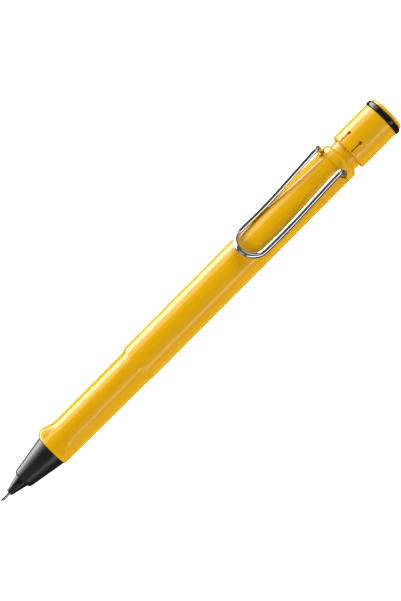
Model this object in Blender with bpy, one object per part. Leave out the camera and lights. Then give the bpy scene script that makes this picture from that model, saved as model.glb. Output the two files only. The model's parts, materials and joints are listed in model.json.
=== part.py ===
"""Mechanical pencil with a wire clip, lying along X with its point at -X and its clip up.

Lengths below are millimetres. A station is a distance along the pencil, counted
from just before the lead's point; a profile is a list of (station, radius) corners.
"""

import math

import bmesh
import bpy
from mathutils import Matrix, Vector

MM = 0.001
LEAD_POINT = 0.3
REAR = 138.4
MIDDLE = (LEAD_POINT + REAR) / 2
AXIS_HEIGHT = 5.6  # the pencil's axis above the surface that it lies on
SIDES = 48  # facets round the barrel, so that every flat's middle is a corner
TURNED_SIDES = 36  # facets round the other outer pieces
INNER_SIDES = 24  # facets round the pieces inside
FINE_SIDES = 16  # facets round pieces thinner than 3 mm
RUNNING_GAP = 0.05
WELD = 0.000001

# barrel
BARREL_FRONT = 18.58
BARREL_REAR = 119.05
BARREL_BORE_R = 3.6
GRIP_BORE_R = 3.4
GRIP_BORE_END = 48.0
SEAL_POCKET_R = 3.95
SEAL_POCKET_END = 19.6
FRONT_R = 4.77
GRIP_REAR_R = 5.17
BODY_R = 5.24
BODY_FULL = 85.0  # where the barrel reaches its full radius
FRONT_EDGE = 0.15  # how far the front edge is rounded in

# the three finger flats, one below and two beside the clip, and the lip before them
FLAT_ANGLES = (60.0, 180.0, 300.0)
LIP_HEIGHT = AXIS_HEIGHT
LIP_START = 20.1
LIP_END = 20.8
LIP_FLAT_ANGLE = 8.0
LIP_FADE_ANGLE = 38.0
LIP_FADE_END = 23.9
FLARE_END = 25.2
FLAT_HEIGHT = 4.5
FLAT_END = 48.0
STEP_END = 49.9
FLAT_CORNER_R = 4.2  # how widely a flat is rounded into the barrel

# the two slanted cuts beside the clip's root
CUT_ANGLES = (57.0, 303.0)
CUT_START = 98.0
CUT_DEPTH = 0.7
CUT_CORNER_R = 0.8

# collar and push button
NECK_R = 4.21
NECK_BORE_R = 3.3
NECK_END = 128.3
COLLAR_R = 5.28
BUTTON_FRONT = 124.15
BUTTON_REAR = 135.8
BUTTON_R = 5.265
BUTTON_BORE_R = 4.4
SLIT_ANGLE = 22.0  # each side of the clip's plane, above and below
SLIT_WIDTH = 0.3
SLIT_END = 127.5
SLIT_HOLE_R = 0.5
RING_R = 5.51
DISC_R = 4.96

# clip, one bent wire; heights are above the pencil's axis
WIRE_R = 0.8
CLIP_HALF_WIDTH = 4.22
HOOK_HALF_WIDTH = 4.34
CLIP_BEND_CENTRE = 91.6
CLIP_TOP_HEIGHT = 7.0
CLIP_BEND_HEIGHT = 4.75
HOOK_STATION = 119.15
HOOK_HEIGHT = 7.2
HOOK_RADIUS = 1.3
HOOK_ENTRY = (4.22, 4.6)
HOOK_END = (3.68, 1.9)
HOOK_HOLE_R = 1.02
HOOK_CUT_OUT = 2.0  # how far the holes' cutters reach out of the barrel
HOOK_CUT_IN = 0.6  # and past the end of the wire
BEND_STEPS = 6
HOOK_STEPS = 4
CLIP_PIVOT_HEIGHT = 3.0

# lead and lead mechanism
LEAD_R = 0.25
LEAD_LENGTH = 60.0
LEAD_BORE_R = 0.3
CHUCK_FRONT = 10.4
CHUCK_END = 24.4
CHUCK_SLIT = 0.16
CHUCK_SLIT_END = 15.5
SPRING_FRONT = 14.45
SPRING_REAR = 21.35
SPRING_R = 1.15
SPRING_WIRE_R = 0.15
SPRING_TURNS = 8
COUPLER_FRONT = 21.6
TUBE_FRONT = 29.4
TUBE_REAR = 124.0
TUBE_R = 1.92
TUBE_BORE_R = 1.58
SPARE_LEAD_FRONT = 42.0
SPARE_LEAD_OFFSET = 0.95

# colour (linear), roughness, metallic
YELLOW = ((0.75, 0.40, 0.004), 0.16, 0.0)
MATTE_BLACK = ((0.012, 0.012, 0.013), 0.42, 0.0)
GLOSS_BLACK = ((0.008, 0.008, 0.009), 0.1, 0.0)
CHROME = ((0.82, 0.83, 0.85), 0.06, 1.0)
STEEL = ((0.55, 0.56, 0.58), 0.25, 1.0)
BRASS = ((0.68, 0.47, 0.17), 0.25, 1.0)
RUBBER = ((0.02, 0.02, 0.021), 0.8, 0.0)
GRAPHITE = ((0.035, 0.035, 0.04), 0.35, 0.0)
CLEAR_PLASTIC = ((0.62, 0.64, 0.66), 0.2, 0.0)
WHITE_ERASER = ((0.85, 0.85, 0.83), 0.75, 0.0)


def clear_scene():
    for old in list(bpy.data.objects):
        bpy.data.objects.remove(old, do_unlink=True)


def place(station, across=0.0, height=0.0):
    """World point, in metres, of a station and an offset from the pencil's axis."""
    return Vector((station - MIDDLE, across, AXIS_HEIGHT + height)) * MM


def add_material(name, finish):
    colour, roughness, metallic = finish
    material = bpy.data.materials.new(name)
    material.use_nodes = True
    shader = material.node_tree.nodes["Principled BSDF"]
    shader.inputs["Base Color"].default_value = (*colour, 1.0)
    shader.inputs["Roughness"].default_value = roughness
    shader.inputs["Metallic"].default_value = metallic
    return material


def add_object(name, body, origin, finish):
    """Closes a bmesh made round the world's origin and puts it at its own origin."""
    bmesh.ops.remove_doubles(body, verts=body.verts, dist=WELD)
    bmesh.ops.dissolve_degenerate(body, edges=body.edges, dist=WELD)
    bmesh.ops.recalc_face_normals(body, faces=body.faces)
    mesh = bpy.data.meshes.new(name)
    body.to_mesh(mesh)
    body.free()
    mesh.shade_smooth()
    mesh.set_sharp_from_angle(angle=math.radians(35))
    piece = bpy.data.objects.new(name, mesh)
    piece.location = origin
    mesh.materials.append(add_material(name, finish))
    bpy.context.scene.collection.objects.link(piece)
    return piece


def turned(name, profile, finish, sides=INNER_SIDES, across=0.0, height=0.0):
    """A lathed piece. A profile that touches the axis twice is solid, any other is a tube."""
    start = profile[0][0]
    body = bmesh.new()
    corners = [body.verts.new(((s - start) * MM, 0.0, r * MM)) for s, r in profile]
    edges = [body.edges.new(pair) for pair in zip(corners, corners[1:])]
    if profile[0][1] > 0.0:
        edges.append(body.edges.new((corners[-1], corners[0])))
    bmesh.ops.spin(
        body, geom=corners + edges, cent=(0, 0, 0), axis=(1, 0, 0),
        angle=math.tau, steps=sides, use_merge=True,
    )
    return add_object(name, body, place(start, across, height), finish)


def tube(front, rear, outer, inner):
    return [(front, outer), (rear, outer), (rear, inner), (front, inner)]


def rod(front, rear, radius):
    return [(front, 0.0), (front, radius), (rear, radius), (rear, 0.0)]


def smooth_step(value, low, high):
    t = min(max((value - low) / (high - low), 0.0), 1.0)
    return t * t * (3 - 2 * t)


def blend(value, low, high, first, last):
    t = min(max((value - low) / (high - low), 0.0), 1.0)
    return first + (last - first) * t


def angle_from(angle, centres):
    """Smallest angle, in degrees, from a direction to any of the centres."""
    return min(abs((angle - c + 180) % 360 - 180) for c in centres)


def round_radius(station):
    """Radius of the barrel before its flats and cuts are taken off."""
    if station < FLAT_END:
        return blend(station, BARREL_FRONT, FLAT_END, FRONT_R, GRIP_REAR_R)
    return blend(station, FLAT_END, BODY_FULL, GRIP_REAR_R, BODY_R)


def flat_height(station):
    """Distance of a finger flat from the axis, with its flare in front and step behind."""
    if station < LIP_END or station > STEP_END:
        return None
    if station < FLARE_END:
        t = (FLARE_END - station) / (FLARE_END - LIP_END)
        return FLAT_HEIGHT + (LIP_HEIGHT - FLAT_HEIGHT) * t * t
    t = max(station - FLAT_END, 0.0) / (STEP_END - FLAT_END)
    return FLAT_HEIGHT + (BODY_R - FLAT_HEIGHT) * t ** 1.5


def section_radius(radius, height, off_flat, corner):
    """Radius of a round section with a flat at a height, joined to it by rounded corners."""
    if height >= radius:
        return radius
    reach = radius - corner
    corner_turn = math.acos((height - corner) / reach)
    off = math.radians(off_flat)
    if off >= corner_turn:
        return radius
    if off <= math.atan2(reach * math.sin(corner_turn), height):
        return height / math.cos(off)
    aside = reach * math.sin(corner_turn - off)
    return reach * math.cos(corner_turn - off) + math.sqrt(corner ** 2 - aside ** 2)


def barrel_radius(station, angle):
    """Outer radius of the barrel at a station, in a direction measured from the clip."""
    radius = round_radius(station)
    off_flat = angle_from(angle, FLAT_ANGLES)
    rise = math.sin(math.pi / 2 * blend(station, BARREL_FRONT, LIP_START, 0.0, 1.0))
    rise *= 1 - smooth_step(station, LIP_END, LIP_FADE_END)
    width = 1 - smooth_step(off_flat, LIP_FLAT_ANGLE, LIP_FADE_ANGLE)
    crest = LIP_HEIGHT / math.cos(math.radians(min(off_flat, LIP_FLAT_ANGLE)))
    radius += (crest - radius) * rise * width
    height = flat_height(station)
    if height is not None:
        radius = section_radius(radius, height, off_flat, FLAT_CORNER_R)
    if station > CUT_START:
        off_cut = angle_from(angle, CUT_ANGLES)
        cut = BODY_R - blend(station, CUT_START, BARREL_REAR, 0.0, CUT_DEPTH)
        radius = section_radius(radius, cut, off_cut, CUT_CORNER_R)
    if station == BARREL_FRONT:
        radius -= FRONT_EDGE
    return radius


def barrel_stations():
    front = [BARREL_FRONT, 18.78, 19.15, 19.6]
    lip = [LIP_START, LIP_END, 21.3, 21.9, 22.6, 23.3, 24.1]
    flat = [FLARE_END, 36.0, FLAT_END]
    step = [48.6, 49.2, STEP_END - 0.01, STEP_END + 0.05]
    return front + lip + flat + step + [66.0, BODY_FULL, CUT_START, 105.0, 112.0, BARREL_REAR]


def add_ring(body, station, radius_at):
    ring = []
    for i in range(SIDES):
        angle = 360.0 * i / SIDES
        radius = radius_at(angle) * MM
        turn = math.radians(angle)
        ring.append(
            body.verts.new(
                ((station - BARREL_FRONT) * MM, radius * math.sin(turn), radius * math.cos(turn))
            )
        )
    return ring


def make_barrel():
    body = bmesh.new()
    rings = [
        add_ring(body, s, lambda angle, s=s: barrel_radius(s, angle)) for s in barrel_stations()
    ]
    bore = [
        (BARREL_REAR, BARREL_BORE_R),
        (GRIP_BORE_END, BARREL_BORE_R),
        (GRIP_BORE_END, GRIP_BORE_R),
        (SEAL_POCKET_END, GRIP_BORE_R),
        (SEAL_POCKET_END, SEAL_POCKET_R),
        (BARREL_FRONT, SEAL_POCKET_R),
    ]
    rings += [add_ring(body, s, lambda angle, r=r: r) for s, r in bore]
    for ring, following in zip(rings, rings[1:] + rings[:1]):
        for i in range(SIDES):
            j = (i + 1) % SIDES
            body.faces.new((ring[i], ring[j], following[j], following[i]))
    barrel = add_object("barrel", body, place(BARREL_FRONT), YELLOW)
    cut_with(barrel, hook_cutters("barrel"))
    return barrel


def add_cutter(name, body):
    bmesh.ops.recalc_face_normals(body, faces=body.faces)
    mesh = bpy.data.meshes.new(name)
    body.to_mesh(mesh)
    body.free()
    cutter = bpy.data.objects.new(name, mesh)
    cutter.hide_render = True
    cutter.display_type = "WIRE"
    bpy.context.scene.collection.objects.link(cutter)
    return cutter


def cut_with(piece, cutters):
    for cutter in cutters:
        modifier = piece.modifiers.new(cutter.name, "BOOLEAN")
        modifier.operation = "DIFFERENCE"
        modifier.solver = "EXACT"
        modifier.object = cutter


def rod_between(first, last, radius, sides):
    """A bmesh rod from one world point to another."""
    body = bmesh.new()
    way = last - first
    turn = way.to_track_quat("Z", "Y").to_matrix().to_4x4()
    bmesh.ops.create_cone(
        body, cap_ends=True, segments=sides, radius1=radius, radius2=radius,
        depth=way.length, matrix=Matrix.Translation((first + last) / 2) @ turn,
    )
    return body


def hook_cutters(piece_name):
    """Holes for the two hooked ends of the clip, a little wider than its wire."""
    cutters = []
    for side in (-1, 1):
        end = Vector((HOOK_END[0] * side, HOOK_END[1]))
        entry = Vector((HOOK_ENTRY[0] * side, HOOK_ENTRY[1]))
        way = (entry - end).normalized()
        outer = entry + way * HOOK_CUT_OUT
        inner = end - way * HOOK_CUT_IN
        body = rod_between(
            place(HOOK_STATION, outer.x, outer.y), place(HOOK_STATION, inner.x, inner.y),
            HOOK_HOLE_R * MM, FINE_SIDES,
        )
        cutters.append(add_cutter(f"cutter_{piece_name}_hook_{side + 2}", body))
    return cutters


def clip_path():
    """Points of one half of the clip, from the middle of its bend to its hooked end."""
    points = []
    for i in range(BEND_STEPS + 1):
        turn = math.pi / 2 * i / BEND_STEPS
        rise = math.cos(turn) ** 2
        points.append((
            CLIP_BEND_CENTRE - CLIP_HALF_WIDTH * math.cos(turn),
            CLIP_HALF_WIDTH * math.sin(turn),
            CLIP_BEND_HEIGHT + (CLIP_TOP_HEIGHT - CLIP_BEND_HEIGHT) * rise,
        ))
    points += [
        (94.8, CLIP_HALF_WIDTH, 4.5),
        (98.0, CLIP_HALF_WIDTH, 4.45),
        (103.0, CLIP_HALF_WIDTH, 4.85),
        (108.5, CLIP_HALF_WIDTH + 0.04, 5.75),
        (114.0, HOOK_HALF_WIDTH - 0.04, 6.68),
    ]
    hook_centre = HOOK_STATION - HOOK_RADIUS
    for i in range(HOOK_STEPS + 1):
        turn = math.pi / 2 * i / HOOK_STEPS
        drop = HOOK_RADIUS * (1 - math.cos(turn))
        across = HOOK_HALF_WIDTH + (HOOK_ENTRY[0] - HOOK_HALF_WIDTH) * drop / 2
        points.append((hook_centre + HOOK_RADIUS * math.sin(turn), across, HOOK_HEIGHT - drop))
    points.append((HOOK_STATION, *HOOK_ENTRY))
    points.append((HOOK_STATION, *HOOK_END))
    return points


def make_clip():
    half = clip_path()
    other = [(s, -across, height) for s, across, height in half[:0:-1]]
    route = other + half
    curve = bpy.data.curves.new("clip_wire", "CURVE")
    curve.dimensions = "3D"
    curve.bevel_depth = WIRE_R * MM
    curve.bevel_resolution = 3
    curve.use_fill_caps = True
    spline = curve.splines.new("POLY")
    spline.points.add(len(route) - 1)
    pivot = place(HOOK_STATION, 0.0, CLIP_PIVOT_HEIGHT)
    for point, corner in zip(spline.points, route):
        point.co = (*(place(*corner) - pivot), 1.0)
    spline.use_smooth = True
    clip = bpy.data.objects.new("clip_wire", curve)
    clip.location = pivot
    curve.materials.append(add_material("clip_wire", CHROME))
    bpy.context.scene.collection.objects.link(clip)
    return clip


def make_collar():
    profile = [
        (108.5, 3.55), (BARREL_REAR + RUNNING_GAP, 3.55), (BARREL_REAR + RUNNING_GAP, 5.2),
        (119.25, COLLAR_R), (120.8, COLLAR_R), (121.3, 5.1), (121.7, 4.7), (121.95, NECK_R),
        (NECK_END, NECK_R), (NECK_END, NECK_BORE_R), (121.0, NECK_BORE_R), (121.0, 3.0),
        (108.5, 3.0),
    ]
    collar = turned("collar", profile, YELLOW, TURNED_SIDES)
    cut_with(collar, hook_cutters("collar"))
    return collar


def make_push_button():
    skirt_floor = 131.0
    core_front, core_floor = 126.8, 132.6
    plug_floor, spigot_end = 133.6, 137.35
    profile = [
        (core_floor, 0.0), (core_floor, 2.5), (core_front, 2.5), (core_front, 2.95),
        (skirt_floor, 2.95), (skirt_floor, BUTTON_BORE_R), (BUTTON_FRONT, BUTTON_BORE_R),
        (BUTTON_FRONT, 4.85), (124.25, 5.1), (124.5, BUTTON_R), (BUTTON_REAR, BUTTON_R),
        (BUTTON_REAR, 4.7), (spigot_end, 4.7), (spigot_end, 3.0), (plug_floor, 3.0),
        (plug_floor, 0.0),
    ]
    button = turned("push_button", profile, YELLOW, TURNED_SIDES)
    cut_with(button, slit_cutters())
    return button


def slit_cutters():
    """Four slits with round ends, which free two snap fingers in the button's skirt."""
    cutters = []
    for angle in (SLIT_ANGLE, -SLIT_ANGLE, 180 - SLIT_ANGLE, 180 + SLIT_ANGLE):
        turn = Matrix.Rotation(math.radians(-angle), 4, "X")
        slit = bmesh.new()
        length = SLIT_END - BUTTON_FRONT + 1.0
        size = Vector((length, SLIT_WIDTH, 2.0)) * MM
        middle = Vector((SLIT_END - length / 2, 0.0, 4.9)) * MM
        bmesh.ops.create_cube(slit, size=1.0)
        bmesh.ops.scale(slit, vec=size, verts=slit.verts)
        bmesh.ops.translate(slit, vec=middle, verts=slit.verts)
        hole = rod_between(
            Vector((SLIT_END, 0.0, 3.9)) * MM, Vector((SLIT_END, 0.0, 5.9)) * MM,
            SLIT_HOLE_R * MM, FINE_SIDES,
        )
        for label, body in (("slit", slit), ("hole", hole)):
            bmesh.ops.transform(body, matrix=turn, verts=body.verts)
            bmesh.ops.translate(body, vec=place(0.0), verts=body.verts)
            cutters.append(add_cutter(f"cutter_{label}_{round(angle) % 360}", body))
    return cutters


def make_button_trim():
    ring = [
        (135.85, 4.76), (135.85, 5.15), (136.05, 5.4), (136.35, RING_R), (136.9, RING_R),
        (137.2, 5.4), (137.4, 5.15), (137.4, 4.76),
    ]
    turned("button_ring", ring, GLOSS_BLACK, TURNED_SIDES)
    disc = [
        (133.8, 0.0), (133.8, 2.9), (137.45, 2.9), (137.45, DISC_R - 0.05), (137.7, DISC_R),
        (138.1, 4.8), (138.3, 4.5), (REAR, 4.1), (REAR, 0.0),
    ]
    turned("end_disc", disc, YELLOW, TURNED_SIDES)


def make_front_section():
    section = [
        (7.95, 2.16), (8.0, 2.32), (8.2, 2.54), (8.55, 2.72), (9.0, 2.84), (18.45, 4.47),
        (18.45, 3.3), (22.9, 3.3), (22.9, 2.6), (9.7, 2.6), (9.0, 2.12), (8.0, 2.12),
    ]
    turned("front_section", section, MATTE_BLACK, TURNED_SIDES)
    seal = [(18.7, 3.4), (18.7, 3.7), (18.85, 3.85), (19.2, 3.85), (19.35, 3.7), (19.35, 3.4)]
    turned("section_seal", seal, RUBBER, TURNED_SIDES)


def make_nose():
    cone = [
        (3.3, 0.78), (3.36, 0.9), (3.5, 0.97), (7.9, 2.01), (8.9, 2.05), (9.7, 2.4),
        (17.0, 2.4), (17.0, 1.8), (10.55, 1.8), (10.55, 1.46), (8.2, 1.46), (8.2, 1.26),
        (6.0, 1.26), (6.0, 0.57), (3.36, 0.57),
    ]
    turned("nose_cone", cone, GLOSS_BLACK)
    turned("guide_pipe", tube(0.95, 5.8, 0.525, 0.33), STEEL, FINE_SIDES)
    turned("lead_retainer", tube(6.2, 8.0, 1.2, LEAD_BORE_R), RUBBER, FINE_SIDES)


def make_chuck():
    profile = [
        (CHUCK_FRONT, 0.95), (10.6, 1.18), (11.2, 1.35), (13.0, 0.9), (13.2, 0.8),
        (CHUCK_END, 0.8), (CHUCK_END, 0.42), (13.2, 0.42), (13.0, LEAD_BORE_R),
        (CHUCK_FRONT, LEAD_BORE_R),
    ]
    chuck = turned("chuck", profile, BRASS, INNER_SIDES)
    cutters = []
    length = CHUCK_SLIT_END - CHUCK_FRONT + 0.5
    for i in range(3):
        slit = bmesh.new()
        bmesh.ops.create_cube(slit, size=1.0)
        bmesh.ops.scale(slit, vec=Vector((length, CHUCK_SLIT, 1.8)) * MM, verts=slit.verts)
        middle = Vector((CHUCK_SLIT_END - length / 2, 0.0, 1.03)) * MM
        bmesh.ops.translate(slit, vec=middle, verts=slit.verts)
        turn = Matrix.Rotation(math.radians(120 * i + 7), 4, "X")
        bmesh.ops.transform(slit, matrix=turn, verts=slit.verts)
        bmesh.ops.translate(slit, vec=place(0.0), verts=slit.verts)
        cutters.append(add_cutter(f"cutter_chuck_slit_{i + 1}", slit))
    cut_with(chuck, cutters)


def make_spring():
    body = bmesh.new()
    per_turn, round_wire = 12, 6
    count = SPRING_TURNS * per_turn
    rings = []
    for i in range(count + 1):
        turn = math.tau * i / per_turn
        station = SPRING_WIRE_R + (SPRING_REAR - SPRING_FRONT - 2 * SPRING_WIRE_R) * i / count
        outward = Vector((0.0, math.sin(turn), math.cos(turn)))
        centre = (outward * SPRING_R + Vector((station, 0.0, 0.0))) * MM
        ring = []
        for k in range(round_wire):
            around = math.tau * k / round_wire
            side = outward * math.cos(around) + Vector((math.sin(around), 0.0, 0.0))
            ring.append(body.verts.new(centre + side * SPRING_WIRE_R * MM))
        rings.append(ring)
    for ring, following in zip(rings, rings[1:]):
        for k in range(round_wire):
            j = (k + 1) % round_wire
            body.faces.new((ring[k], ring[j], following[j], following[k]))
    body.faces.new(rings[0])
    body.faces.new(rings[-1])
    add_object("return_spring", body, place(SPRING_FRONT), STEEL)


def make_mechanism():
    turned(
        "clutch_ring",
        [(11.3, 1.41), (11.3, 1.64), (13.0, 1.64), (13.0, 1.0)], BRASS, INNER_SIDES,
    )
    make_chuck()
    housing = [
        (13.2, 0.98), (13.2, 1.72), (17.1, 1.72), (17.1, 2.4), (27.0, 2.4), (27.0, 1.52),
        (14.2, 1.52), (14.2, 0.98),
    ]
    turned("clutch_housing", housing, BRASS)
    make_spring()
    coupler = [
        (COUPLER_FRONT, 0.88), (COUPLER_FRONT, 1.42), (29.2, 1.42), (29.6, 1.5), (33.5, 1.5),
        (33.5, 0.42), (24.6, 0.42), (24.6, 0.88),
    ]
    turned("tube_coupler", coupler, CLEAR_PLASTIC)
    sleeve = [
        (23.2, 2.48), (23.2, 3.33), (40.0, 3.33), (40.0, 2.06), (27.1, 2.06), (27.1, 2.48),
    ]
    turned("mechanism_sleeve", sleeve, MATTE_BLACK)


def make_leads():
    turned("writing_lead", rod(LEAD_POINT, LEAD_LENGTH, LEAD_R), GRAPHITE, 12)
    turned("lead_tube", tube(TUBE_FRONT, TUBE_REAR, TUBE_R, TUBE_BORE_R), CLEAR_PLASTIC)
    for i in range(3):
        turn = math.radians(120 * i + 60)
        across = SPARE_LEAD_OFFSET * math.sin(turn)
        height = SPARE_LEAD_OFFSET * math.cos(turn)
        profile = rod(SPARE_LEAD_FRONT, SPARE_LEAD_FRONT + LEAD_LENGTH, LEAD_R)
        turned(f"spare_lead_{i + 1}", profile, GRAPHITE, 8, across, height)


def make_eraser():
    holder = [
        (118.0, 1.98), (118.0, 2.45), (130.0, 2.45), (130.0, 2.12), (124.1, 2.12),
        (124.1, 1.98),
    ]
    turned("eraser_holder", holder, STEEL)
    eraser = [
        (127.0, 0.0), (127.0, 0.26), (124.3, 0.26), (124.3, 2.06), (131.8, 2.06),
        (132.2, 1.7), (132.2, 0.0),
    ]
    turned("eraser", eraser, WHITE_ERASER)
    turned("cleaning_needle", rod(104.0, 126.8, 0.2), STEEL, 8)


def main():
    clear_scene()
    make_barrel()
    make_collar()
    make_clip()
    make_front_section()
    make_nose()
    make_mechanism()
    make_leads()
    make_eraser()
    make_push_button()
    make_button_trim()


main()
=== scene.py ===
"""Looks of the mechanical pencil: finely made pieces, their finishes, the light and the camera.

The pencil lies along X with its point at -X and its clip up. Lengths are millimetres until
they reach Blender. A station is a distance along the pencil, counted as in the CAD, and an
outline is a list of (station, radius) corners, where a third number rounds that corner.
"""

import json
import math

import bpy
from mathutils import Matrix, Vector


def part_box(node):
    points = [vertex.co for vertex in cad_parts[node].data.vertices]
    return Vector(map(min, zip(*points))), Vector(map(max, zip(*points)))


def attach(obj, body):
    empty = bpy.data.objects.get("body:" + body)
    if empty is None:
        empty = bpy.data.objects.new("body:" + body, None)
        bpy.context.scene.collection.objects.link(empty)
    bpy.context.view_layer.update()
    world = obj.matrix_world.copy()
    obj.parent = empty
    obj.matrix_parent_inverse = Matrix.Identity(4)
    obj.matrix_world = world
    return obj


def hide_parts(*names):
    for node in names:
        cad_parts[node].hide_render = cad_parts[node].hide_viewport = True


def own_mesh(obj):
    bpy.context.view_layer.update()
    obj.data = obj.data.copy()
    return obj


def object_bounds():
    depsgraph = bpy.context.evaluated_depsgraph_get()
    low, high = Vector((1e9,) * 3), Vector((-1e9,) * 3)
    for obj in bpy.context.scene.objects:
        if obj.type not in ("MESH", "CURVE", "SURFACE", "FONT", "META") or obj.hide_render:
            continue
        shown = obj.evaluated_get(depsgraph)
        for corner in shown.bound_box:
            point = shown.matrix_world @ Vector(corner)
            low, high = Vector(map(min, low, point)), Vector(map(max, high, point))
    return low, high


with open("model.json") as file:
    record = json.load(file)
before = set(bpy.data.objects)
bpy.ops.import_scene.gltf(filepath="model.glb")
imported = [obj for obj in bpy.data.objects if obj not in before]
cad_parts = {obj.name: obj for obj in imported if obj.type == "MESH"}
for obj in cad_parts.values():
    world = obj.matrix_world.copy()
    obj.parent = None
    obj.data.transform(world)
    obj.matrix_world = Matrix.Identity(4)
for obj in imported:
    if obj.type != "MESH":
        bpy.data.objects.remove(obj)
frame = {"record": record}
cad_low, cad_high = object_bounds()

MM = 0.001
LEAD_POINT = 0.3
WELD = 0.000001
ARC_STEPS = 6
SIDES = 112  # facets round the outer turned pieces
INNER_SIDES = 64  # facets round the pieces inside
BARREL_SIDES = 192

button_low, button_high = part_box("push_button")
axis_height = (button_low.z + button_high.z) / 2
lead_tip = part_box("writing_lead")[0].x

# barrel, as in the CAD
BARREL_FRONT = 18.58
BARREL_REAR = 119.05
BARREL_BORE_R = 3.6
GRIP_BORE_R = 3.4
GRIP_BORE_END = 48.0
SEAL_POCKET_R = 3.95
SEAL_POCKET_END = 19.6
FRONT_R = 4.77
GRIP_REAR_R = 5.17
BODY_R = 5.24
BODY_FULL = 85.0
EDGE_ROUND = 0.2
EDGE_DEPTH = 0.12  # how far the front edge is rounded in
REAR_EDGE = EDGE_ROUND / 4  # the rear edge is sharper, for a thin joint line

# finger flats and the lip in front of them
FLAT_ANGLES = (60.0, 180.0, 300.0)
LIP_HEIGHT = 5.6
LIP_START = 20.1
LIP_END = 20.8
LIP_FLAT_ANGLE = 8.0
LIP_FADE_ANGLE = 38.0
LIP_FADE_END = 23.9
FLARE_END = 25.2
FLAT_HEIGHT = 4.5
FLAT_END = 48.0
STEP_END = 49.9
FLAT_CORNER_R = 4.2  # how widely a flat is rounded into the barrel

# slanted cuts beside the clip's root
CUT_ANGLES = (57.0, 303.0)
CUT_START = 98.0
CUT_DEPTH = 0.7
CUT_CORNER_R = 0.8

# collar and push button
COLLAR_R = 5.28
NECK_R = 4.21
NECK_END = 128.3
NECK_BORE_R = 3.3
BUTTON_FRONT = 124.15
BUTTON_REAR = 135.8
BUTTON_R = 5.265
BUTTON_BORE_R = 4.4
SLIT_ANGLE = 22.0
SLIT_WIDTH = 0.3
SLIT_END = 127.5
SLIT_HOLE_R = 0.5
RING_R = 5.51
DISC_R = 4.96
REAR = 138.4

MIDDLE = (LEAD_POINT + REAR) / 2

# clip wire; heights are above the axis
WIRE_R = 0.8
CLIP_HALF_WIDTH = 4.22
HOOK_HALF_WIDTH = 4.34
CLIP_BEND_CENTRE = 91.6
CLIP_TOP_HEIGHT = 7.0
CLIP_BEND_HEIGHT = 4.75
HOOK_STATION = 119.15
HOOK_HEIGHT = 7.2
HOOK_RADIUS = 1.3
HOOK_ENTRY = (4.22, 4.6)
HOOK_END = (3.68, 1.9)
HOOK_HOLE_R = 1.02
HOOK_CUT_OUT = 2.0  # how far the holes' cutters reach out of the barrel
HOOK_CUT_IN = 0.6  # and past the end of the wire
BEND_STEPS = 8
HOOK_STEPS = 6

# lead and mechanism
LEAD_R = 0.25
LEAD_REAR = 60.0
SPRING_FRONT = 14.45
SPRING_REAR = 21.35
SPRING_R = 1.15
SPRING_WIRE_R = 0.15
SPRING_TURNS = 8
CHUCK_FRONT = 10.4
CHUCK_SLIT = 0.16
CHUCK_SLIT_END = 15.5
SPARE_LEAD_OFFSET = 0.95

# camera: angles in degrees, distances in metres
CAMERA_LEAN = 16.5
CAMERA_TURN = 45.135
CAMERA_LENS = 130.9
CAMERA_DISTANCE = 0.55
AIM_RIGHT = 0.001569
AIM_UP = 0.001603

BODY_OF = {
    node: body
    for body, nodes in frame["record"]["behaviour"]["bodies"].items()
    for node in nodes
}


# ---------------------------------------------------------------- places and shapes


def at(station, across=0.0, height=0.0):
    """World point of a station and an offset from the pencil's axis."""
    x = lead_tip + (station - LEAD_POINT) * MM
    return Vector((x, across * MM, axis_height + height * MM))


def smooth_step(value, low, high):
    t = min(max((value - low) / (high - low), 0.0), 1.0)
    return t * t * (3 - 2 * t)


def blend(value, low, high, first, last):
    t = min(max((value - low) / (high - low), 0.0), 1.0)
    return first + (last - first) * t


def rounded(outline):
    """The outline's points, with an arc at each corner that asks for one."""
    points = []
    for i, corner in enumerate(outline):
        here = Vector(corner[:2])
        if len(corner) < 3:
            points.append(here)
            continue
        before = (Vector(outline[i - 1][:2]) - here).normalized()
        after = (Vector(outline[(i + 1) % len(outline)][:2]) - here).normalized()
        half = before.angle(after) / 2
        centre = here + (before + after).normalized() * (corner[2] / math.sin(half))
        first = here + before * (corner[2] / math.tan(half)) - centre
        last = here + after * (corner[2] / math.tan(half)) - centre
        for step in range(ARC_STEPS + 1):
            way = first.slerp(last, step / ARC_STEPS).normalized()
            points.append(centre + way * corner[2])
    return points


# ---------------------------------------------------------------- modelling steps


def deselect():
    bpy.ops.object.select_all(action="DESELECT")


def make_active(piece):
    deselect()
    piece.select_set(True)
    bpy.context.view_layer.objects.active = piece


def settle(piece, smooth_angle=32.0):
    """Puts the piece's place into its mesh and shades its round faces smooth."""
    make_active(piece)
    bpy.ops.object.transform_apply(location=True, rotation=True, scale=True)
    bpy.ops.object.shade_smooth_by_angle(angle=math.radians(smooth_angle))


def dress(piece, node, slot):
    """Gives a piece its finish and its body, and hides the CAD node that it stands for."""
    piece.data.materials.clear()
    piece.data.materials.append(finishes[slot])
    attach(piece, BODY_OF[node])
    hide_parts(node)
    return piece


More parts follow.
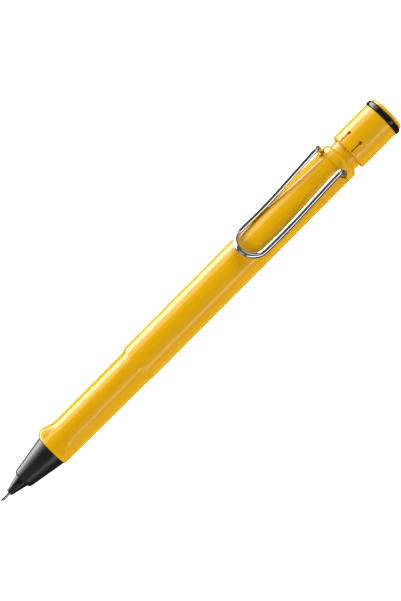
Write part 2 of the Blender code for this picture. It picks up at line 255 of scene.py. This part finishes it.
def turned(name, outline, sides=SIDES, across=0.0, height=0.0):
    """A lathed piece: its outline is drawn from one corner and spun round the axis.

    An outline that starts and ends on the axis is solid, any other is closed to a tube.
    """
    corners = [at(s, across, height + r) for s, r in rounded(outline)]
    if outline[0][1] > 0.0:
        corners.append(corners[0])
    deselect()
    bpy.ops.mesh.primitive_plane_add(size=MM, location=corners[0])
    piece = bpy.context.object
    piece.name = name
    piece.data.name = name
    bpy.ops.object.mode_set(mode="EDIT")
    bpy.ops.mesh.merge(type="CENTER")
    for last, following in zip(corners, corners[1:]):
        bpy.ops.mesh.extrude_vertices_move(TRANSFORM_OT_translate={"value": following - last})
    bpy.ops.mesh.select_all(action="SELECT")
    bpy.ops.mesh.spin(
        steps=sides, angle=math.tau, center=at(0.0, across, height), axis=(1.0, 0.0, 0.0)
    )
    bpy.ops.mesh.select_all(action="SELECT")
    bpy.ops.mesh.remove_doubles(threshold=WELD)
    bpy.ops.mesh.normals_make_consistent(inside=False)
    bpy.ops.object.mode_set(mode="OBJECT")
    settle(piece)
    return piece


def tube(front, rear, outer, inner, edge=0.05):
    return [
        (front, inner, edge), (front, outer, edge), (rear, outer, edge), (rear, inner, edge),
    ]


def rod(front, rear, radius, edge=0.05):
    return [(front, 0.0), (front, radius, edge), (rear, radius, edge), (rear, 0.0)]


def carve(piece, cutter):
    """Cuts one solid out of a piece and takes the cutter away."""
    make_active(piece)
    bpy.ops.object.modifier_add(type="BOOLEAN")
    modifier = piece.modifiers[-1]
    modifier.operation = "DIFFERENCE"
    modifier.solver = "EXACT"
    modifier.object = cutter
    bpy.ops.object.modifier_apply(modifier=modifier.name)
    bpy.data.objects.remove(cutter, do_unlink=True)


def round_cutter(first, last, radius, sides=40):
    way = last - first
    deselect()
    bpy.ops.mesh.primitive_cylinder_add(
        vertices=sides, radius=radius * MM, depth=way.length, location=(first + last) / 2,
        rotation=way.to_track_quat("Z", "Y").to_euler(),
    )
    return bpy.context.object


def wire(name, route, radius, around=8, between=4):
    """A bent wire through the route's points, as a mesh with closed ends."""
    deselect()
    bpy.ops.curve.primitive_bezier_curve_add(location=(0, 0, 0))
    piece = bpy.context.object
    piece.name = name
    curve = piece.data
    spline = curve.splines[0]
    spline.bezier_points.add(len(route) - len(spline.bezier_points))
    for point, corner in zip(spline.bezier_points, route):
        point.co = corner
        point.handle_left_type = "AUTO"
        point.handle_right_type = "AUTO"
    curve.resolution_u = between
    curve.bevel_depth = radius * MM
    curve.bevel_resolution = around
    curve.use_fill_caps = True
    bpy.ops.object.convert(target="MESH")
    piece = bpy.context.object
    piece.data.name = name
    bpy.ops.object.mode_set(mode="EDIT")
    bpy.ops.mesh.select_all(action="SELECT")
    bpy.ops.mesh.remove_doubles(threshold=WELD)
    bpy.ops.mesh.normals_make_consistent(inside=False)
    bpy.ops.object.mode_set(mode="OBJECT")
    settle(piece, 60.0)
    return piece


# ---------------------------------------------------------------- finishes


def new_finish(name):
    material = bpy.data.materials.new(name)
    material.use_nodes = True
    tree = material.node_tree
    return material, tree, tree.nodes["Principled BSDF"]


def place_on(tree, stretch=(1.0, 1.0, 1.0)):
    """Object coordinates, squeezed so that a pattern is drawn out along an axis."""
    where = tree.nodes.new("ShaderNodeTexCoord")
    mapping = tree.nodes.new("ShaderNodeMapping")
    mapping.inputs["Scale"].default_value = stretch
    tree.links.new(where.outputs["Object"], mapping.inputs["Vector"])
    return mapping.outputs["Vector"]


def noise(tree, scale, detail=4.0, stretch=(1.0, 1.0, 1.0)):
    node = tree.nodes.new("ShaderNodeTexNoise")
    node.inputs["Scale"].default_value = scale
    node.inputs["Detail"].default_value = detail
    tree.links.new(place_on(tree, stretch), node.inputs["Vector"])
    return node.outputs["Fac"]


def between(tree, factor, low, high, start=0.3, end=0.7):
    """Turns a pattern into numbers from low to high."""
    node = tree.nodes.new("ShaderNodeMapRange")
    node.inputs["From Min"].default_value = start
    node.inputs["From Max"].default_value = end
    node.inputs["To Min"].default_value = low
    node.inputs["To Max"].default_value = high
    tree.links.new(factor, node.inputs["Value"])
    return node.outputs["Result"]


def two_colours(tree, factor, first, second):
    node = tree.nodes.new("ShaderNodeMix")
    node.data_type = "RGBA"
    node.inputs["A"].default_value = (*first, 1.0)
    node.inputs["B"].default_value = (*second, 1.0)
    tree.links.new(factor, node.inputs["Factor"])
    return node.outputs["Result"]


def relief(tree, shader, height, depth, strength=1.0):
    """Raises and lowers the surface by a pattern, depth in millimetres."""
    node = tree.nodes.new("ShaderNodeBump")
    node.inputs["Strength"].default_value = strength
    node.inputs["Distance"].default_value = depth * MM
    tree.links.new(height, node.inputs["Height"])
    tree.links.new(node.outputs["Normal"], shader.inputs["Normal"])


def finish(name, colours, mottle, gloss, smudge, grain, depth, metallic=0.0, stretch=(1, 1, 1)):
    """A surface with colour mottling, uneven gloss and fine relief.

    mottle, smudge and grain are the patterns' scales; gloss is the roughness from and to.
    """
    material, tree, shader = new_finish(name)
    colour = two_colours(tree, between(tree, noise(tree, mottle), 0.0, 1.0), *colours)
    tree.links.new(colour, shader.inputs["Base Color"])
    roughness = between(tree, noise(tree, smudge, 5.0, stretch), *gloss)
    tree.links.new(roughness, shader.inputs["Roughness"])
    shader.inputs["Metallic"].default_value = metallic
    relief(tree, shader, noise(tree, grain, 3.0, stretch), depth)
    return material, tree, shader


def yellow_plastic():
    material, _, shader = finish(
        "yellow_plastic", ((0.67, 0.34, 0.0), (0.705, 0.365, 0.001)), 90.0, (0.13, 0.18), 160.0,
        1500.0, 0.0004,
    )
    shader.inputs["IOR"].default_value = 1.5
    shader.inputs["Subsurface Weight"].default_value = 0.3
    shader.inputs["Subsurface Radius"].default_value = (1.0, 0.5, 0.1)
    shader.inputs["Subsurface Scale"].default_value = 0.0006
    return material


def matte_black_plastic():
    material, _, shader = finish(
        "matte_black_plastic", ((0.0012, 0.0012, 0.0013), (0.0028, 0.0028, 0.003)), 500.0,
        (0.33, 0.41), 260.0, 5200.0, 0.004,
    )
    shader.inputs["IOR"].default_value = 1.65
    return material


def gloss_black_plastic():
    material, _, shader = finish(
        "gloss_black_plastic", ((0.003, 0.003, 0.0035), (0.006, 0.006, 0.006)), 200.0,
        (0.08, 0.16), 300.0, 1600.0, 0.0004,
    )
    shader.inputs["IOR"].default_value = 1.5
    return material


def chrome_wire():
    material, _, _ = finish(
        "chrome_wire", ((0.78, 0.79, 0.82), (0.86, 0.865, 0.88)), 200.0, (0.1, 0.16), 350.0,
        2400.0, 0.0001, 1.0,
    )
    return material


def steel():
    material, _, _ = finish(
        "steel", ((0.42, 0.42, 0.43), (0.58, 0.58, 0.59)), 900.0, (0.2, 0.34), 1800.0, 5200.0,
        0.0015, 1.0, (0.2, 1.0, 1.0),
    )
    return material


def brass():
    material, _, _ = finish(
        "brass", ((0.55, 0.36, 0.12), (0.7, 0.49, 0.19)), 300.0, (0.18, 0.34), 1200.0, 4200.0,
        0.0015, 1.0, (1.0, 0.25, 0.25),
    )
    return material


def black_rubber():
    material, _, _ = finish(
        "black_rubber", ((0.012, 0.012, 0.012), (0.022, 0.022, 0.022)), 600.0, (0.55, 0.75),
        500.0, 3800.0, 0.006,
    )
    return material


def graphite():
    material, _, shader = finish(
        "graphite", ((0.02, 0.02, 0.022), (0.06, 0.06, 0.065)), 2600.0, (0.28, 0.5), 2200.0,
        6000.0, 0.004, 0.35, (0.15, 1.0, 1.0),
    )
    shader.inputs["IOR"].default_value = 1.9
    return material


def clear_plastic():
    material, _, shader = finish(
        "clear_plastic", ((0.86, 0.88, 0.89), (0.93, 0.94, 0.95)), 150.0, (0.06, 0.2), 240.0,
        900.0, 0.002,
    )
    shader.inputs["Transmission Weight"].default_value = 0.85
    shader.inputs["IOR"].default_value = 1.49
    return material


def eraser_white():
    material, _, shader = finish(
        "eraser_white", ((0.72, 0.71, 0.69), (0.86, 0.86, 0.84)), 700.0, (0.7, 0.9), 900.0,
        3200.0, 0.02,
    )
    shader.inputs["Subsurface Weight"].default_value = 0.1
    shader.inputs["Subsurface Scale"].default_value = 0.4 * MM
    return material


def make_finishes():
    makers = (
        yellow_plastic, matte_black_plastic, gloss_black_plastic, chrome_wire, steel, brass,
        black_rubber, graphite, clear_plastic, eraser_white,
    )
    return {maker.__name__: maker() for maker in makers}


# ---------------------------------------------------------------- barrel


def angle_from(angle, centres):
    """Smallest angle, in degrees, from a direction to any of the centres."""
    return min(abs((angle - c + 180) % 360 - 180) for c in centres)


def flat_height(station):
    """Distance of a finger flat from the axis, with its flare in front and step behind."""
    if station < LIP_END or station > STEP_END:
        return None
    if station < FLARE_END:
        t = (FLARE_END - station) / (FLARE_END - LIP_END)
        return FLAT_HEIGHT + (LIP_HEIGHT - FLAT_HEIGHT) * t * t
    t = max(station - FLAT_END, 0.0) / (STEP_END - FLAT_END)
    return FLAT_HEIGHT + (BODY_R - FLAT_HEIGHT) * t ** 1.5


def section_radius(radius, height, off_flat, corner):
    """Radius of a round section with a flat at a height, joined to it by rounded corners."""
    if height >= radius:
        return radius
    reach = radius - corner
    corner_turn = math.acos((height - corner) / reach)
    off = math.radians(off_flat)
    if off >= corner_turn:
        return radius
    if off <= math.atan2(reach * math.sin(corner_turn), height):
        return height / math.cos(off)
    aside = reach * math.sin(corner_turn - off)
    return reach * math.cos(corner_turn - off) + math.sqrt(corner ** 2 - aside ** 2)


def barrel_radius(station, angle):
    """Outer radius of the barrel at a station, in a direction measured from the clip."""
    if station < FLAT_END:
        radius = blend(station, BARREL_FRONT, FLAT_END, FRONT_R, GRIP_REAR_R)
    else:
        radius = blend(station, FLAT_END, BODY_FULL, GRIP_REAR_R, BODY_R)
    off_flat = angle_from(angle, FLAT_ANGLES)
    rise = math.sin(math.pi / 2 * blend(station, BARREL_FRONT, LIP_START, 0.0, 1.0))
    rise *= 1 - smooth_step(station, LIP_END, LIP_FADE_END)
    width = 1 - smooth_step(off_flat, LIP_FLAT_ANGLE, LIP_FADE_ANGLE)
    crest = LIP_HEIGHT / math.cos(math.radians(min(off_flat, LIP_FLAT_ANGLE)))
    radius += (crest - radius) * rise * width
    height = flat_height(station)
    if height is not None:
        radius = section_radius(radius, height, off_flat, FLAT_CORNER_R)
    if station > CUT_START:
        off_cut = angle_from(angle, CUT_ANGLES)
        cut = BODY_R - blend(station, CUT_START, BARREL_REAR, 0.0, CUT_DEPTH)
        radius = section_radius(radius, cut, off_cut, CUT_CORNER_R)
    from_edge = min((station - BARREL_FRONT) / EDGE_ROUND, (BARREL_REAR - station) / REAR_EDGE)
    if from_edge < 1.0:
        radius -= EDGE_DEPTH * (1.0 - math.sqrt(from_edge * (2.0 - from_edge)))
    return radius


def spaced(first, last, step):
    count = max(round((last - first) / step), 1)
    return [first + (last - first) * i / count for i in range(count)]


def barrel_stations():
    return (
        spaced(BARREL_FRONT, BARREL_FRONT + EDGE_ROUND, 0.04)
        + spaced(BARREL_FRONT + EDGE_ROUND, FLARE_END, 0.16)
        + spaced(FLARE_END, FLAT_END, 1.2)
        + spaced(FLAT_END, STEP_END, 0.1)
        + spaced(STEP_END, BODY_FULL, 3.0)
        + spaced(BODY_FULL, CUT_START, 3.0)
        + spaced(CUT_START, BARREL_REAR - REAR_EDGE, 1.0)
        + spaced(BARREL_REAR - REAR_EDGE, BARREL_REAR, 0.01)
        + [BARREL_REAR]
    )


def make_barrel():
    """A ring drawn out along the barrel and back through its bore, then shaped ring by ring."""
    outside = barrel_stations()
    bore = [
        (BARREL_REAR, BARREL_BORE_R), (GRIP_BORE_END, BARREL_BORE_R),
        (GRIP_BORE_END, GRIP_BORE_R), (SEAL_POCKET_END, GRIP_BORE_R),
        (SEAL_POCKET_END, SEAL_POCKET_R), (BARREL_FRONT, SEAL_POCKET_R),
    ]
    stations = outside + [station for station, _ in bore]
    deselect()
    bpy.ops.mesh.primitive_circle_add(
        vertices=BARREL_SIDES, radius=BODY_R * MM, location=at(outside[0]),
        rotation=(0.0, math.pi / 2, 0.0),
    )
    barrel = bpy.context.object
    barrel.name = "barrel_moulding"
    barrel.data.name = barrel.name
    bpy.ops.object.transform_apply(location=True, rotation=True, scale=True)
    bpy.ops.object.mode_set(mode="EDIT")
    for last, following in zip(stations, stations[1:]):
        step = Vector(((following - last) * MM, 0.0, 0.0))
        bpy.ops.mesh.extrude_region_move(TRANSFORM_OT_translate={"value": step})
    bpy.ops.object.mode_set(mode="OBJECT")
    for i, vertex in enumerate(barrel.data.vertices):
        ring = i // BARREL_SIDES
        angle = math.degrees(math.atan2(vertex.co.y, vertex.co.z - axis_height)) % 360
        if ring < len(outside):
            radius = barrel_radius(outside[ring], angle)
        else:
            radius = bore[ring - len(outside)][1]
        turn = math.radians(angle)
        vertex.co = at(stations[ring], radius * math.sin(turn), radius * math.cos(turn))
    bpy.ops.object.mode_set(mode="EDIT")
    bpy.ops.mesh.select_mode(type="EDGE")
    bpy.ops.mesh.select_all(action="DESELECT")
    bpy.ops.mesh.select_non_manifold()
    bpy.ops.mesh.bridge_edge_loops()
    bpy.ops.mesh.select_mode(type="VERT")
    bpy.ops.mesh.select_all(action="SELECT")
    bpy.ops.mesh.normals_make_consistent(inside=False)
    bpy.ops.object.mode_set(mode="OBJECT")
    carve_hook_holes(barrel)
    settle(barrel)
    dress(barrel, "barrel", "yellow_plastic")


def carve_hook_holes(piece):
    """Holes where the clip's two hooked ends go in, half in the barrel and half in the collar."""
    for side in (-1, 1):
        end = Vector((HOOK_END[0] * side, HOOK_END[1]))
        entry = Vector((HOOK_ENTRY[0] * side, HOOK_ENTRY[1]))
        way = (entry - end).normalized()
        outer = at(HOOK_STATION, *(entry + way * HOOK_CUT_OUT))
        inner = at(HOOK_STATION, *(end - way * HOOK_CUT_IN))
        carve(piece, round_cutter(outer, inner, HOOK_HOLE_R))


# ---------------------------------------------------------------- collar, button and clip


def make_collar():
    outline = [
        (108.5, 3.55, 0.1), (119.1, 3.55), (119.1, COLLAR_R - 0.02, 0.04),
        (121.95, COLLAR_R, 1.05), (121.95, NECK_R, 0.1), (NECK_END, NECK_R, 0.2),
        (NECK_END, NECK_BORE_R, 0.1), (121.0, NECK_BORE_R), (121.0, 3.0), (108.5, 3.0, 0.1),
    ]
    collar = turned("collar_moulding", outline)
    carve_hook_holes(collar)
    settle(collar)
    dress(collar, "collar", "yellow_plastic")


def make_push_button():
    core_front, core_floor, skirt_floor = 126.8, 132.6, 131.0
    plug_floor, spigot_end = 133.6, 137.35
    outline = [
        (core_floor, 0.0), (core_floor, 2.5, 0.1), (core_front, 2.5, 0.1),
        (core_front, 2.95, 0.1), (skirt_floor, 2.95, 0.2), (skirt_floor, BUTTON_BORE_R, 0.2),
        (BUTTON_FRONT, BUTTON_BORE_R, 0.15), (BUTTON_FRONT, BUTTON_R, 0.38),
        (BUTTON_REAR, BUTTON_R, 0.12), (BUTTON_REAR, 4.7), (spigot_end, 4.7, 0.1),
        (spigot_end, 3.0, 0.1), (plug_floor, 3.0), (plug_floor, 0.0),
    ]
    button = turned("push_button_moulding", outline)
    for angle in (SLIT_ANGLE, -SLIT_ANGLE, 180 - SLIT_ANGLE, 180 + SLIT_ANGLE):
        carve_slit(button, math.radians(angle))
    settle(button)
    dress(button, "push_button", "yellow_plastic")


def carve_slit(button, angle):
    """A slit from the skirt's front edge to a round end, on one side of a snap finger."""
    outward = Vector((math.sin(angle), math.cos(angle)))
    inner, outer = outward * 4.0, outward * 6.0
    carve(button, round_cutter(at(SLIT_END, *inner), at(SLIT_END, *outer), SLIT_HOLE_R))
    length = SLIT_END - BUTTON_FRONT + 1.0
    deselect()
    bpy.ops.mesh.primitive_cube_add(
        size=1.0, location=at(SLIT_END - length / 2, *(outward * 5.0)),
        rotation=(-angle, 0.0, 0.0), scale=(length * MM, SLIT_WIDTH * MM, 2.0 * MM),
    )
    carve(button, bpy.context.object)


def make_button_trim():
    ring = [
        (135.85, 4.76), (135.85, RING_R, 0.62), (137.4, RING_R, 0.62), (137.4, 4.76),
    ]
    dress(turned("button_ring_moulding", ring), "button_ring", "gloss_black_plastic")
    disc = [
        (133.8, 0.0), (133.8, 2.9, 0.1), (137.45, 2.9), (137.45, DISC_R, 0.08),
        (REAR, DISC_R, 0.72), (REAR, 0.0),
    ]
    dress(turned("end_disc_moulding", disc), "end_disc", "yellow_plastic")


def clip_path():
    """Points of one half of the clip, from the middle of its bend to its hooked end."""
    points = []
    for i in range(BEND_STEPS + 1):
        turn = math.pi / 2 * i / BEND_STEPS
        rise = math.cos(turn) ** 2
        points.append((
            CLIP_BEND_CENTRE - CLIP_HALF_WIDTH * math.cos(turn),
            CLIP_HALF_WIDTH * math.sin(turn),
            CLIP_BEND_HEIGHT + (CLIP_TOP_HEIGHT - CLIP_BEND_HEIGHT) * rise,
        ))
    points += [
        (94.8, CLIP_HALF_WIDTH, 4.5),
        (98.0, CLIP_HALF_WIDTH, 4.45),
        (103.0, CLIP_HALF_WIDTH, 4.85),
        (108.5, CLIP_HALF_WIDTH + 0.04, 5.75),
        (114.0, HOOK_HALF_WIDTH - 0.04, 6.68),
    ]
    hook_centre = HOOK_STATION - HOOK_RADIUS
    for i in range(HOOK_STEPS + 1):
        turn = math.pi / 2 * i / HOOK_STEPS
        drop = HOOK_RADIUS * (1 - math.cos(turn))
        across = HOOK_HALF_WIDTH + (HOOK_ENTRY[0] - HOOK_HALF_WIDTH) * drop / 2
        points.append((hook_centre + HOOK_RADIUS * math.sin(turn), across, HOOK_HEIGHT - drop))
    points.append((HOOK_STATION, *HOOK_ENTRY))
    points.append((HOOK_STATION, *HOOK_END))
    return points


def make_clip():
    half = clip_path()
    other = [(s, -across, height) for s, across, height in half[:0:-1]]
    clip = wire("clip_bent_wire", [at(*point) for point in other + half], WIRE_R)
    dress(clip, "clip_wire", "chrome_wire")


# ---------------------------------------------------------------- point end


def thread(front, rear, root, crest, pitch):
    """Outline corners of a screw thread's ridges."""
    corners = []
    for i in range(int((rear - front) / pitch)):
        start = front + i * pitch
        corners += [
            (start, root), (start + pitch * 0.3, crest, 0.04), (start + pitch * 0.5, crest, 0.04),
            (start + pitch * 0.8, root),
        ]
    return corners


def make_front_section():
    outline = [
        (7.95, 2.12, 0.06), (7.95, 2.42, 0.1), (8.62, 2.8, 0.5), (18.45, 4.47, 0.1),
        (18.45, 3.15), *thread(18.6, 22.7, 3.12, 3.29, 0.75), (22.9, 3.1, 0.1), (22.9, 2.6),
        (9.7, 2.6), (9.0, 2.12),
    ]
    section = turned("front_section_moulding", outline)
    dress(section, "front_section", "matte_black_plastic")
    seal = [(18.7, 3.4, 0.22), (18.7, 3.85, 0.22), (19.35, 3.85, 0.22), (19.35, 3.4, 0.22)]
    dress(turned("section_seal_ring", seal), "section_seal", "black_rubber")


def make_nose():
    cone = [
        (3.3, 0.57, 0.04), (3.3, 0.93, 0.12), (7.9, 2.01), (8.9, 2.05, 0.3), (9.7, 2.4, 0.1),
        (17.0, 2.4, 0.1), (17.0, 1.8), (10.55, 1.8), (10.55, 1.46), (8.2, 1.46), (8.2, 1.26),
        (6.0, 1.26), (6.0, 0.57),
    ]
    dress(turned("nose_cone_moulding", cone), "nose_cone", "gloss_black_plastic")
    pipe = turned("guide_pipe_tube", tube(0.95, 5.8, 0.525, 0.33, 0.06), INNER_SIDES)
    dress(pipe, "guide_pipe", "steel")
    retainer = turned("lead_retainer_bush", tube(6.2, 8.0, 1.2, 0.3, 0.08), INNER_SIDES)
    dress(retainer, "lead_retainer", "black_rubber")


# ---------------------------------------------------------------- inside pieces


def make_chuck():
    outline = [
        (CHUCK_FRONT, 0.3), (CHUCK_FRONT, 0.95, 0.06), (10.6, 1.18, 0.06), (11.2, 1.35, 0.1),
        (13.0, 0.9), (13.2, 0.8), (24.4, 0.8, 0.06), (24.4, 0.42), (13.2, 0.42), (13.0, 0.3),
    ]
    chuck = turned("chuck_jaws", outline, INNER_SIDES)
    length = CHUCK_SLIT_END - CHUCK_FRONT + 0.5
    for i in range(3):
        turn = math.radians(120 * i + 7)
        outward = Vector((-math.sin(turn), math.cos(turn))) * 1.03
        deselect()
        bpy.ops.mesh.primitive_cube_add(
            size=1.0, location=at(CHUCK_SLIT_END - length / 2, *outward),
            rotation=(turn, 0.0, 0.0), scale=(length * MM, CHUCK_SLIT * MM, 1.8 * MM),
        )
        carve(chuck, bpy.context.object)
    settle(chuck)
    dress(chuck, "chuck", "brass")


def make_spring():
    per_turn = 16
    count = SPRING_TURNS * per_turn
    first = SPRING_FRONT + SPRING_WIRE_R
    last = SPRING_REAR - SPRING_WIRE_R
    route = []
    for i in range(count + 1):
        turn = math.tau * i / per_turn
        station = first + (last - first) * i / count
        route.append(at(station, SPRING_R * math.sin(turn), SPRING_R * math.cos(turn)))
    spring = wire("return_spring_coil", route, SPRING_WIRE_R, 3, 2)
    dress(spring, "return_spring", "steel")
    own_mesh(spring)


def make_mechanism():
    ring = [(11.3, 1.41), (11.3, 1.64, 0.06), (13.0, 1.64, 0.06), (13.0, 1.0)]
    dress(turned("clutch_ring_turning", ring, INNER_SIDES), "clutch_ring", "brass")
    make_chuck()
    housing = [
        (13.2, 0.98), (13.2, 1.72, 0.08), (17.1, 1.72), (17.1, 2.4, 0.1), (27.0, 2.4, 0.1),
        (27.0, 1.52), (14.2, 1.52), (14.2, 0.98),
    ]
    dress(turned("clutch_housing_turning", housing, INNER_SIDES), "clutch_housing", "brass")
    make_spring()
    coupler = [
        (21.6, 0.88), (21.6, 1.42, 0.08), (29.2, 1.42), (29.6, 1.5, 0.1), (33.5, 1.5, 0.1),
        (33.5, 0.42, 0.1), (24.6, 0.42), (24.6, 0.88),
    ]
    dress(turned("tube_coupler_moulding", coupler, INNER_SIDES), "tube_coupler", "clear_plastic")
    sleeve = [
        (23.2, 2.48), (23.2, 3.33, 0.1), (40.0, 3.33, 0.1), (40.0, 2.06), (27.1, 2.06),
        (27.1, 2.48),
    ]
    sleeve_piece = turned("mechanism_sleeve_moulding", sleeve, INNER_SIDES)
    dress(sleeve_piece, "mechanism_sleeve", "matte_black_plastic")


def make_leads():
    worn_point = [
        (LEAD_POINT, 0.0), (LEAD_POINT, 0.12, 0.04), (LEAD_POINT + 0.18, LEAD_R, 0.05),
        (LEAD_REAR, LEAD_R, 0.02), (LEAD_REAR, 0.0),
    ]
    dress(turned("writing_lead_rod", worn_point, 32), "writing_lead", "graphite")
    tube_piece = turned("lead_tube_moulding", tube(29.4, 124.0, 1.92, 1.58), INNER_SIDES)
    dress(tube_piece, "lead_tube", "clear_plastic")
    for i in range(3):
        turn = math.radians(120 * i + 60)
        across, height = SPARE_LEAD_OFFSET * math.sin(turn), SPARE_LEAD_OFFSET * math.cos(turn)
        outline = rod(42.0, 102.0, LEAD_R, 0.02)
        lead = turned(f"spare_lead_rod_{i + 1}", outline, 24, across, height)
        dress(lead, f"spare_lead_{i + 1}", "graphite")


def make_eraser():
    holder = [
        (118.0, 1.98, 0.05), (118.0, 2.45, 0.1), (119.6, 2.45, 0.05), (119.8, 2.36, 0.05),
        (120.2, 2.36, 0.05), (120.4, 2.45, 0.05), (130.0, 2.45, 0.12), (130.0, 2.12, 0.1),
        (124.1, 2.12), (124.1, 1.98),
    ]
    dress(turned("eraser_holder_cup", holder, INNER_SIDES), "eraser_holder", "steel")
    eraser = [
        (127.0, 0.0), (127.0, 0.26), (124.3, 0.26), (124.3, 2.06, 0.1), (132.2, 2.06, 0.5),
        (132.2, 0.0),
    ]
    dress(turned("eraser_plug", eraser, INNER_SIDES), "eraser", "eraser_white")
    needle = [(104.0, 0.0), (104.4, 0.2, 0.2), (126.8, 0.2, 0.02), (126.8, 0.0)]
    dress(turned("cleaning_needle_wire", needle, 24), "cleaning_needle", "steel")


# ---------------------------------------------------------------- studio


def soft_box(name, place, size, strength, seen_in_gloss, colour=(1.0, 1.0, 1.0)):
    """A rectangular light that faces the pencil, strength being how bright its face is.

    It either shows as a reflection or lights the colour of things, so each is set alone.
    """
    light = bpy.data.lights.new(name, "AREA")
    light.shape = "RECTANGLE"
    light.size, light.size_y = size
    light.energy = strength * math.pi * size[0] * size[1]
    light.color = colour
    lamp = bpy.data.objects.new(name, light)
    bpy.context.scene.collection.objects.link(lamp)
    lamp.location = place
    lamp.rotation_euler = (at(MIDDLE) - lamp.location).to_track_quat("-Z", "Y").to_euler()
    lamp.visible_glossy = seen_in_gloss
    lamp.visible_diffuse = not seen_in_gloss


def make_floor():
    """Pale paper, bright enough by itself to show no shadow."""
    bpy.ops.mesh.primitive_plane_add(size=6.0, location=(0.0, 0.0, cad_low.z))
    floor = bpy.context.object
    floor.name = "studio_floor"
    material, tree, shader = new_finish("studio_floor_paper")
    paper = two_colours(tree, noise(tree, 40.0), (0.9, 0.9, 0.9), (0.92, 0.92, 0.92))
    tree.links.new(paper, shader.inputs["Base Color"])
    shader.inputs["Roughness"].default_value = 0.9
    shader.inputs["Emission Color"].default_value = (1.0, 1.0, 1.0, 1.0)
    shader.inputs["Emission Strength"].default_value = 0.9
    floor.data.materials.append(material)
    floor.visible_glossy = False
    floor.visible_shadow = False


def make_studio():
    """Reflectors make the long streaks in the gloss; fills only light the colours."""
    make_floor()
    world = bpy.data.worlds.new("studio_air")
    bpy.context.scene.world = world
    world.use_nodes = True
    sky = world.node_tree.nodes["Background"]
    sky.inputs["Color"].default_value = (0.86, 0.92, 1.0, 1.0)
    sky.inputs["Strength"].default_value = 0.09
    soft_box("left_reflector", (0.0, 0.5, 0.02), (1.0, 0.3), 8.5, True)
    soft_box("left_upper_reflector", (0.0, 0.41, 0.27), (1.0, 0.28), 2.4, True)
    soft_box("right_reflector", (0.0, -0.5, 0.18), (1.0, 0.15), 2.2, True)
    soft_box("right_fill", (0.0, -0.5, 0.42), (0.9, 0.25), 2.8, False)
    soft_box("right_low_fill", (0.0, -0.6, 0.13), (0.9, 0.2), 2.3, False)
    cool = (0.94, 1.0, 0.94)
    soft_box("left_low_fill", (0.0, 0.55, 0.15), (0.9, 0.2), 3.9, False, cool)
    for side in (-1, 1):
        soft_box(f"left_fill_{side + 2}", (0.5 * side, 0.36, 0.42), (0.4, 0.4), 8.2, False, cool)
        soft_box(f"end_reflector_{side + 2}", (0.45 * side, -0.1, 0.33), (0.4, 0.4), 0.45, True)
    bpy.context.scene.view_settings.view_transform = "Standard"


def make_camera():
    """The camera leans a little to the pencil's near side and is turned so that it lies aslant."""
    lean, turn = math.radians(CAMERA_LEAN), math.radians(CAMERA_TURN)
    along = Vector((1.0, 0.0, 0.0))
    over = Vector((0.0, math.cos(lean), math.sin(lean)))
    back = along.cross(over)
    right = math.cos(turn) * along - math.sin(turn) * over
    up = math.sin(turn) * along + math.cos(turn) * over
    lens = bpy.data.cameras.new("camera")
    lens.lens = CAMERA_LENS
    lens.sensor_width = 36.0
    lens.clip_start = 0.01
    camera = bpy.data.objects.new("camera", lens)
    bpy.context.scene.collection.objects.link(camera)
    pose = Matrix((right, up, back)).transposed().to_4x4()
    pose.translation = at(MIDDLE) + back * CAMERA_DISTANCE + right * AIM_RIGHT + up * AIM_UP
    camera.matrix_world = pose
    bpy.context.scene.camera = camera


finishes = make_finishes()
make_camera()
make_barrel()
make_collar()
make_clip()
make_push_button()
make_button_trim()
make_front_section()
make_nose()
make_mechanism()
make_leads()
make_eraser()
make_studio()
